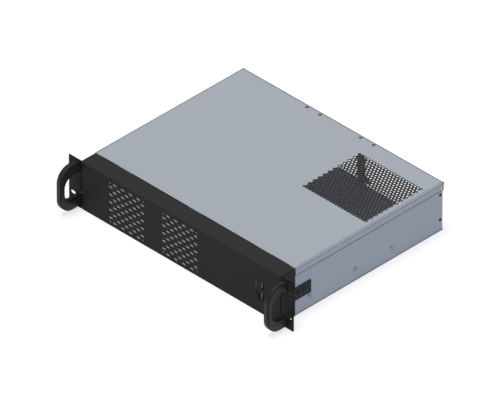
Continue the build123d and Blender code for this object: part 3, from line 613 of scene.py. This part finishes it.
# %% [markdown]
# ## Cover, the flat sheet
# The real cover is one sheet of one millimetre steel, folded down at both sides and the back,
# with tongues at the front that slip under the bezel. Solid modelling could give the shape, but
# a plane whose edges are pulled out is how sheet metal is made, and the folds then get their
# true bend radius. First the flat plane is marked out: bisects draw the sides of the three
# tongues and the strips along the folds.

# %% The flat sheet
cover_low, cover_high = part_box("top_cover")
side, back, top = cover_high
sheet = 1 * mm                  # thickness of the steel
fold = 1.7 * mm                 # outer radius of the folds
fold_zone = fold + 1 * mm       # strip beside each fold that gets the painted shade
corner = 2 * mm                 # the rear fold stops this far from each side
tongue_xs = (-150 * mm, 0, 150 * mm)
tongue_half, tongue_drop, tongue_length = 15 * mm, 2.4 * mm, 9 * mm
front = cover_low[1] + tongue_length

clear_selection()
bpy.ops.mesh.primitive_plane_add(size=1, location=(0, (front + back) / 2, top))
cover = bpy.context.object
cover.name = "cover_sheet"
cover.scale = (2 * side, back - front, 1)
apply_place()
for x in tongue_xs:
    split(cover, (x - tongue_half, 0, 0), (1, 0, 0))
    split(cover, (x + tongue_half, 0, 0), (1, 0, 0))
for x in (-side + fold_zone, side - fold_zone):
    split(cover, (x, 0, 0), (1, 0, 0))
split(cover, (0, back - fold_zone, 0), (0, 1, 0))
print("faces of the flat sheet:", len(cover.data.polygons))

# %% [markdown]
# ## Cover, flanges and tongues
# Each edge is pulled out as the press brake turns it: the sides down, the back down, and each
# tongue first down by the thickness that it has to pass under, then forwards. The folds are
# rounded with a bevel of four steps, and the sheet is thickened inwards last, so that its
# outside keeps the size of the CAD model.

# %% Flanges and tongues
flange, rear_flange = 14 * mm, 8 * mm
edge_strip = 1.3 * mm           # lowest strip of a side, dark as a painted shade line

pick(cover, "EDGE", lambda p: near(abs(p.x), side))
pull(0, 0, -flange)
pick(cover, "EDGE", lambda p: near(p.y, back) and near(p.z, top) and abs(p.x) < side - corner)
pull(0, 0, -rear_flange)
for x in tongue_xs:
    pick(cover, "EDGE", lambda p: near(p.y, front) and near(p.z, top)
         and abs(p.x - x) < tongue_half + 1 * mm)
    pull(0, 0, -tongue_drop)
    pull(0, -tongue_length, 0)
for z in (top - fold_zone, top - flange + edge_strip):
    split(cover, (0, 0, z), (0, 0, 1))
print("faces with flanges and tongues:", len(cover.data.polygons))

# %% Folds and thickness
pick(cover, "EDGE", lambda p: near(p.z, top) and near(abs(p.x), side))
bpy.ops.mesh.bevel(offset=fold, segments=4, affect="EDGES")
pick(cover, "EDGE", lambda p: near(p.z, top) and near(p.y, back) and abs(p.x) < side - corner)
bpy.ops.mesh.bevel(offset=fold, segments=4, affect="EDGES")
face_outwards()
modify(cover, "SOLIDIFY", thickness=sheet, offset=-1, use_even_offset=True)
print("folded cover, highest point in mm:",
      round(max(v.co.z for v in cover.data.vertices) / mm, 2))

# %% [markdown]
# ## Punched block
# About five hundred round holes with shallow rims lie in two staggered grids. Dots in the
# material would look flat, and the inside of the case wouldn't show through them, so the holes
# are cut. The punch has twelve sides and a head that widens upwards, which presses the rim. Two
# arrays repeat it, and each grid is cut at once. Four bisects frame the block first, so that
# the cuts leave the rest of the sheet whole.

# %% Punched block
hole_pitch, row_pitch = 6.25 * mm, 5.41 * mm
hole_radius, rim_radius, rim_depth = 1.55 * mm, 3.06 * mm, 0.7 * mm
punch_length, overshoot = 4 * mm, 0.2 * mm
rim_widening = 1 + (rim_radius / hole_radius - 1) * (rim_depth + overshoot) / rim_depth
columns, rows = 22, 12
vent_right, vent_back = side - 11.5 * mm, back - 38.5 * mm
vent_x = vent_right - (columns - 1) * hole_pitch
vent_y = vent_back - 2 * (rows - 1) * row_pitch


def repeat(piece, count, step):
    modify(piece, "ARRAY", count=count, use_relative_offset=False, use_constant_offset=True,
           constant_offset_displace=step)


def punch(name, x, y, columns, rows):
    clear_selection()
    middle = (x, y, top - rim_depth - punch_length / 2)
    bpy.ops.mesh.primitive_cylinder_add(
        vertices=12, radius=hole_radius, depth=punch_length, location=middle)
    one = bpy.context.object
    one.name = name
    pick(one, "FACE", lambda p: near(p.z, punch_length / 2))
    pull(0, 0, rim_depth + overshoot)
    widen(rim_widening, rim_widening, 1, center_override=(x, y, top))
    repeat(one, columns, (hole_pitch, 0, 0))
    repeat(one, rows, (0, 2 * row_pitch, 0))
    return one


for x in (vent_x, vent_right):
    split(cover, (x, 0, 0), (1, 0, 0))
for y in (vent_y, vent_back):
    split(cover, (0, y, 0), (0, 1, 0))
cut(cover, punch("even rows", vent_x, vent_y, columns, rows))
cut(cover, punch("odd rows", vent_x + hole_pitch / 2, vent_y + row_pitch, columns - 1, rows - 1))
print("holes in the block:", columns * rows + (columns - 1) * (rows - 1))

# %% [markdown]
# ## Screw holes at the back of the cover
# Four countersunk holes for optional screws lie in one row near the rear fold. A drill and a
# countersink are two tools, so the cone is cut first and the straight hole after it.

# %% Countersunk holes
screw_row = back - 6.5 * mm
drill_radius, sink_radius, sink_depth = 1.8 * mm, 3.1 * mm, 1.2 * mm

for x in (-71.6 * mm, -43.4 * mm, 43.4 * mm, 71.6 * mm):
    clear_selection()
    bpy.ops.mesh.primitive_cone_add(
        vertices=24, radius1=drill_radius, radius2=sink_radius, depth=sink_depth,
        location=(x, screw_row, top - 0.5 * mm))
    cut(cover, bpy.context.object)
    bpy.ops.mesh.primitive_cylinder_add(
        vertices=24, radius=drill_radius, depth=4 * mm, location=(x, screw_row, top))
    cut(cover, bpy.context.object)
finish_piece(cover, grey_coat, "top_cover", "cover", smooth=24)

# %% [markdown]
# ## Finishes of the cover
# The whole punched block with the rims of its holes, the countersunk screw holes and the lowest
# strips of the sides get dark grey, which is painted shade there. A darker band along each fold is
# painted shade too, and the underside keeps its phosphate. A mask in the material could find these
# places too, but here whole faces have each finish, so the faces are chosen by their middle and
# their direction.

# %% Finishes of the cover
rim_tilt = 0.98              # a face that looks up less than this belongs to a rim
clear = 0.5                  # a face looks plainly one way when its normal is over this there
row_end, row_half = 80 * mm, 4 * mm
inner_rear = back - 2 * mm


def fold_shade_band(at, way):
    on_top = near(at.z, top) and (abs(at.x) > side - fold_zone or at.y > back - fold_zone)
    on_side = near(abs(at.x), side) and at.z > top - fold_zone
    return on_top or on_side or (at.y > back - fold_zone and at.z > top - fold_zone)


def punched(at, way):
    outside = max(vent_x - at.x, at.x - vent_right, vent_y - at.y, at.y - vent_back)
    in_screw_row = abs(at.y - screw_row) < row_half and abs(at.x) < row_end
    return outside < 0 or (way.z < rim_tilt and (outside < rim_radius or in_screw_row))


def shaded_edge(at, way):
    return at.z < top - flange + edge_strip or punched(at, way)


def underside(at, way):
    inside_of_rear = way.y < -clear and at.y > inner_rear
    return way.z < -clear or at.x * way.x < -clear * side or inside_of_rear


second_finish(cover, fold_shade_coat, fold_shade_band)
second_finish(cover, edge_shade_coat, shaded_edge)
second_finish(cover, phosphate, underside)

# %% [markdown]
# ## Handles
# Each handle is a cast bar with broad arms, a slimmer grip and round edges. It could be swept along
# a path, but the arms and the grip differ in thickness, so a block is rounded, a rounded opening is
# cut through it, and the long edges are then softened all round. The block reaches behind the ear
# first and is cut off flat there, so that the foot stays square. The softened edges get a
# near-black coat, which is painted shade along each edge.

# %% Handles
handle_coat = powder_coat("satin black handle paint", "#2B2B2A", "#272726",
                          roughness=0.4, bump=0.15, gloss=0.2)
# near-black on the softened edges of the handles is painted shade
painted_edge_shade = powder_coat("dark primer on the softened handle edges", "#131313", "#101010",
                     roughness=0.6, bump=0.1, gloss=0.1)
arm_height, grip_depth = 18.4 * mm, 9 * mm
outer_bend, inner_bend, soft_edge = 26 * mm, 17.5 * mm, 1.2 * mm
behind_ear, past_block = 6 * mm, 1 * mm
shade_edge_low, shade_edge_high = 0.2, 0.97    # how far sideways the shaded edges look


def round_bar(name, low, high, radius, steps):
    bar = block(name, low, high)
    front_y = low[1]
    for z in (low[2], high[2]):
        pick(bar, "EDGE", lambda p: near(p.y, front_y) and near(p.z, z))
        bpy.ops.mesh.bevel(offset=radius, segments=steps, affect="EDGES")
    return bar


def handle(name, node):
    low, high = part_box(node)
    ear = high[1]
    bar = round_bar(name, low, (high[0], ear + behind_ear, high[2]), outer_bend, steps=16)
    opening = round_bar(
        "opening", (low[0] - past_block, low[1] + grip_depth, low[2] + arm_height),
        (high[0] + past_block, ear + 1.5 * behind_ear, high[2] - arm_height), inner_bend, steps=14)
    cut(bar, opening)
    modify(bar, "BEVEL", width=soft_edge, segments=3, limit_method="ANGLE",
           angle_limit=radians(50))
    split(bar, (0, ear, 0), (0, 1, 0), clear_outer=True, use_fill=True)
    return finish_piece(bar, handle_coat, node, "case")


for hand in ("right", "left"):
    bar = handle(hand + "_grip", hand + "_handle")
    # painted shade on the softened edges
    second_finish(bar, painted_edge_shade, lambda at, way: shade_edge_low < abs(way.x) < shade_edge_high)

# %% [markdown]
# ## Buttons
# Both buttons are round moulded caps. The power button has a raised rim with a shallow dish
# inside, so that a finger finds it. The reset button is small and flat with a broken edge. A
# lathe profile would do, but pulling a disc out in steps gives the rim and the dish directly.
# Each step says how far the face rises and how much narrower it gets. A stem behind the cap
# ends just short of the switch that it presses.

# %% Round caps
stem, stem_width, clearance = 5 * mm, 0.4, 0.1 * mm
raised_rim = ((0.25 * mm, 0.97), (0.15 * mm, 0.95), (0.0, 0.9),
              (-0.5 * mm, 0.93), (-0.1 * mm, 0.6), (-0.02 * mm, 0.3))
flat_face = ((0.2 * mm, 0.95), (0.1 * mm, 0.9), (0.0, 0.4))


def round_cap(name, node, body, profile):
    low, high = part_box(node)
    radius, middle = (high[0] - low[0]) / 2, [(a + b) / 2 for a, b in zip(low, high)]
    shoulder = high[1] - stem
    length = shoulder - low[1] - sum(rise for rise, narrow in profile if rise > 0)
    clear_selection()
    bpy.ops.mesh.primitive_circle_add(
        vertices=48, radius=radius, fill_type="NGON",
        location=(middle[0], shoulder, middle[2]), rotation=(pi / 2, 0, 0))
    apply_place()
    cap = bpy.context.object
    cap.name = name
    pick(cap, "FACE", lambda p: True)
    pull(0, -length, 0)
    for rise, narrow in profile:
        pull(0, -rise, 0)
        widen(narrow, 1, narrow)
    pick(cap, "FACE", lambda p: near(p.y, shoulder))
    pull(0, 0, 0)
    widen(stem_width, 1, stem_width)
    pull(0, stem - clearance, 0)
    finish_piece(cap, button_plastic, node, body, smooth=30)


round_cap("power_cap", "power_button", "power_button", raised_rim)
round_cap("reset_cap", "reset_button", "reset_button", flat_face)

# %% [markdown]
# ## Sockets
# Each socket is a folded nickel-plated can with a moulded tongue near its left wall and five
# contacts on the tongue. The can starts as a block; its front is inset and pushed in. Tongue
# and contacts are separate on the real part too, and they are joined here into one piece.

# %% Socket cans
can_wall, can_back, can_edge = 0.45 * mm, 1 * mm, 0.2 * mm


def socket_can(level):
    node = level + "_socket_shell"
    low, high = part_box(node)
    can = block(level + "_socket_can", low, high)
    pick(can, "FACE", lambda p: near(p.y, low[1]))
    bpy.ops.mesh.inset(thickness=can_wall)
    pull(0, high[1] - low[1] - can_back, 0)
    modify(can, "BEVEL", width=can_edge, segments=2, limit_method="ANGLE",
           angle_limit=radians(50))
    finish_piece(can, nickel, node, "case")


# %% Socket tongues
tongue_shift, tongue_reach = 0.7 * mm, 1.9 * mm    # to the left, and towards the opening
contact_count, contact_half = 5, 0.4 * mm
contact_start, contact_end = 1.2 * mm, 4 * mm      # from the front and from the back
contact_sunk, contact_proud = 0.1 * mm, 0.15 * mm


def socket_tongue(level):
    node = level + "_socket_tongue"
    low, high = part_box(node)
    left, right = low[0] - tongue_shift, high[0] - tongue_shift
    front_end = low[1] - tongue_reach
    tongue = block(level + "_tongue", (left, front_end, low[2]), (right, high[1], high[2]))
    pick(tongue, "EDGE", lambda p: near(p.y, front_end))
    bpy.ops.mesh.bevel(offset=0.3 * mm, segments=2, affect="EDGES")
    contacts = []
    for count in range(contact_count):
        z = low[2] + (count + 1) * (high[2] - low[2]) / (contact_count + 1)
        contacts.append(block(
            "contact", (right - contact_sunk, front_end + contact_start, z - contact_half),
            (right + contact_proud, high[1] - contact_end, z + contact_half)))
    join_pieces(tongue, contacts)
    finish_piece(tongue, tongue_plastic, node, "case")
    second_finish(tongue, brass, lambda at, way: at.x > right + 0.01 * mm)


for level in ("lower", "upper"):
    socket_can(level)
    socket_tongue(level)

# %% [markdown]
# ## Where the screws are
# The CAD model keeps all screws of one kind in one mesh. To find each of them, points that an
# edge joins are put in one group, and each group is one screw. Its box gives its place and its
# length.

# %% Places of small solids
def solids_of(node):
    mesh = nodes_at[node].data
    seen = {}
    owner = [seen.setdefault(tuple(round(c, 5) for c in v.co), i)
             for i, v in enumerate(mesh.vertices)]
    group = list(range(len(owner)))

    def leader(i):
        while group[i] != i:
            i = group[i]
        return i

    for edge in mesh.edges:
        a, b = (leader(owner[i]) for i in edge.vertices)
        group[a] = b
    members = {}
    for i, v in enumerate(mesh.vertices):
        members.setdefault(leader(owner[i]), []).append(v.co)
    return [(mathutils.Vector(map(min, zip(*points))), mathutils.Vector(map(max, zip(*points))))
            for points in members.values()]


print("screws of the cover:", len(solids_of("cover_screws")))

# %% [markdown]
# ## One screw
# The screws have pan heads with a cross recess, except those of the handles, whose flat heads
# are countersunk into the back of the ears. One is shaped from a disc: the shank is pulled up,
# widened into the head, and a pan head is pulled and narrowed in steps into a low dome. A cross
# of two blocks is cut into it. A thread would hardly show, so the shank is plain.

# %% One screw
dome = ((0.45, 1.0), (0.3, 0.9), (0.17, 0.78), (0.08, 0.6))    # rise of the head, and widening
recess_arm, recess_web, recess_floor = 0.52, 0.16, 0.25         # parts of the head


def cross_screw(head_radius, head_height, shank_radius, length, countersunk):
    clear_selection()
    bpy.ops.mesh.primitive_circle_add(
        vertices=24, radius=shank_radius, fill_type="NGON", location=(0, 0, -length))
    apply_place()
    screw = bpy.context.object
    pick(screw, "FACE", lambda p: True)
    pull(0, 0, length)
    wide = head_radius / shank_radius
    for rise, wider in ((1.0, wide),) if countersunk else ((0.0, wide), *dome):
        pull(0, 0, rise * head_height)
        widen(wider, wider, 1)
    face_outwards()
    bpy.ops.object.mode_set(mode="OBJECT")
    arm, web = recess_arm * head_radius, recess_web * head_radius
    floor = recess_floor * head_height
    for x, y in ((arm, web), (web, arm)):
        cut(screw, block("cross", (-x, -y, floor), (x, y, 2 * head_height)))
    return screw


# %% [markdown]
# ## All screws
# One screw of each kind is modelled, and a copy with its own mesh goes to each place that the
# CAD model gives, turned so that its shank points the right way. The copies are joined, because
# the CAD model has each kind as one piece. Tools have worn the plating off the floor of the
# recess in the screws of the ears.

# %% Screws in their places
def set_screws(name, node, body, axis, head, shank, material, countersunk=False):
    head_height = head[1]
    copies = []
    screw = None
    for low, high in solids_of(node):
        size, middle = high - low, (low + high) / 2
        way = mathutils.Vector(axis)
        if axis[0] and middle.x < 0:
            way.x = -way.x
        run = max(abs(s * w) for s, w in zip(size, way))
        if screw is None:
            screw = cross_screw(*head, shank, run - head_height, countersunk)
        copy = screw.copy()
        copy.data = screw.data.copy()
        bpy.context.scene.collection.objects.link(copy)
        copy.rotation_euler = mathutils.Vector((0, 0, -1)).rotation_difference(way).to_euler()
        copy.location = middle - way * (run / 2 - head_height)
        copies.append(copy)
    bpy.data.objects.remove(screw)
    join_pieces(copies[0], copies[1:])
    apply_place()
    copies[0].name = name
    return finish_piece(copies[0], material, node, body)


pan, small_pan, cover_pan = (3.4 * mm, 1.6 * mm), (2.7 * mm, 0.8 * mm), (3.2 * mm, 1.7 * mm)
inwards, forwards, downwards = (-1, 0, 0), (0, -1, 0), (0, 0, -1)
thick, thin, cover_shank = 2.0 * mm, 1.4 * mm, 1.75 * mm

set_screws("cover_side_screws", "cover_screws", "cover", inwards, cover_pan, cover_shank, zinc)
tab_screws = set_screws(
    "ear_tab_screws", "ear_screws", "case", inwards, pan, thick, black_zinc)
set_screws("handle_flat_screws", "handle_screws", "case", forwards, pan, thick, black_zinc,
           countersunk=True)
set_screws(
    "panel_side_screws", "rear_panel_screws", "case", inwards, small_pan, thick, black_zinc)
set_screws("blank_plate_screws", "slot_cover_screws", "case", forwards, small_pan, thin, zinc)
for name in ("psu_stop_screws", "drive_bracket_screws", "connector_bracket_screws"):
    set_screws("heads_of_" + name, name, "case", downwards, pan, thick, zinc)

# %% Worn recesses in the screws of the ears
worn_steel = metal("worn screw recess", "#8C867F", "#77726C", roughness=0.35, grain=0.8 * mm)
recess_top = 1.0 * mm    # below the top of the dome
head_face = max(v.co.x for v in tab_screws.data.vertices) - recess_top


def worn_floor(at, way):
    return way.x * at.x > 0.9 * abs(at.x) and abs(at.x) < head_face


second_finish(tab_screws, worn_steel, worn_floor)


# %% [markdown]
# ## Floor
# The photograph has an even white ground. The floor is matt paper that glows a little for the
# camera, in reflections and through the smoked window, so that it reads as white while it still
# takes the soft shadow. The glow sheds no light on the case, so its colours stay as they are.

# %% Floor and backdrop
paper_glow = 0.66
floor_width = 60.0    # metres, so that its edge is never seen
bpy.ops.object.select_all(action="DESELECT")
bpy.ops.mesh.primitive_plane_add(size=floor_width, location=(0, 0, 0))
ground = bpy.context.object
ground.name = "floor"
paper, paper_shader = new_material("matt white backdrop paper", "#B0B0B0", 0.0, 0.95)
paper_shader.inputs["Specular IOR Level"].default_value = 0.0
paper_shader.inputs["Emission Color"].default_value = (1, 1, 1, 1)
ray = add_node(paper, "ShaderNodeLightPath")
seen_by = [ray.outputs[kind] for kind in
           ("Is Camera Ray", "Is Glossy Ray", "Is Transmission Ray")]
glow = add_node(paper, "ShaderNodeMath", {"operation": "MULTIPLY"})
glow.inputs[1].default_value = paper_glow
join_nodes(paper, any_of(paper, seen_by), glow, 0)
join_nodes(paper, glow.outputs[0], paper_shader, "Emission Strength")
ground.data.materials.append(paper)
print("floor, metres across:", round(ground.dimensions.x, 1))

# %% [markdown]
# ## Lights
# Three broad soft lights: one from above, a weak one from the front and a cool one on the
# right side. They give the three faces of the case the three tones of the photograph. The sky
# gives a pale even light, and the camera sees it as plain white.

# %% Sky
sky_light, sky_tint = 0.35, "#EEF1FF"
world = bpy.data.worlds.new("studio")
bpy.context.scene.world = world
world.use_nodes = True
sky = world.node_tree.nodes["Background"]
sky.inputs["Color"].default_value = colour(sky_tint)
sky.inputs["Strength"].default_value = sky_light
white = add_node(world, "ShaderNodeBackground", {"Color": (1, 1, 1, 1), "Strength": 1.0})
path = add_node(world, "ShaderNodeLightPath")
mix = add_node(world, "ShaderNodeMixShader")
join_nodes(world, path.outputs["Is Camera Ray"], mix, 0)
join_nodes(world, sky.outputs[0], mix, 1)
join_nodes(world, white.outputs[0], mix, 2)
join_nodes(world, mix.outputs[0], world.node_tree.nodes["World Output"], "Surface")
print("strength of the sky:", sky_light)

# %% Soft lights
warm, cool = "#FFF9F0", "#D9E1FF"
softness = radians(25)    # how wide each light looks from the case


def soft_light(name, towards, strength, tint):
    light = bpy.data.lights.new(name, "SUN")
    light.angle = softness
    light.energy = strength
    light.color = colour(tint)[:3]
    lamp = bpy.data.objects.new(name, light)
    bpy.context.scene.collection.objects.link(lamp)
    lamp.location = [2 * t for t in towards]
    lamp.rotation_euler = (-mathutils.Vector(towards)).to_track_quat("-Z", "Y").to_euler()
    print(name, "has strength", strength)


soft_light("key from above", (-0.1, -0.1, 1.0), 1.7, warm)
soft_light("front light", (-0.3, -1.0, 0.8), 0.36, warm)
soft_light("side light", (1.0, 0.0, 0.5), 0.98, cool)

# %% Finish
bpy.context.scene.view_settings.view_transform = "Standard"
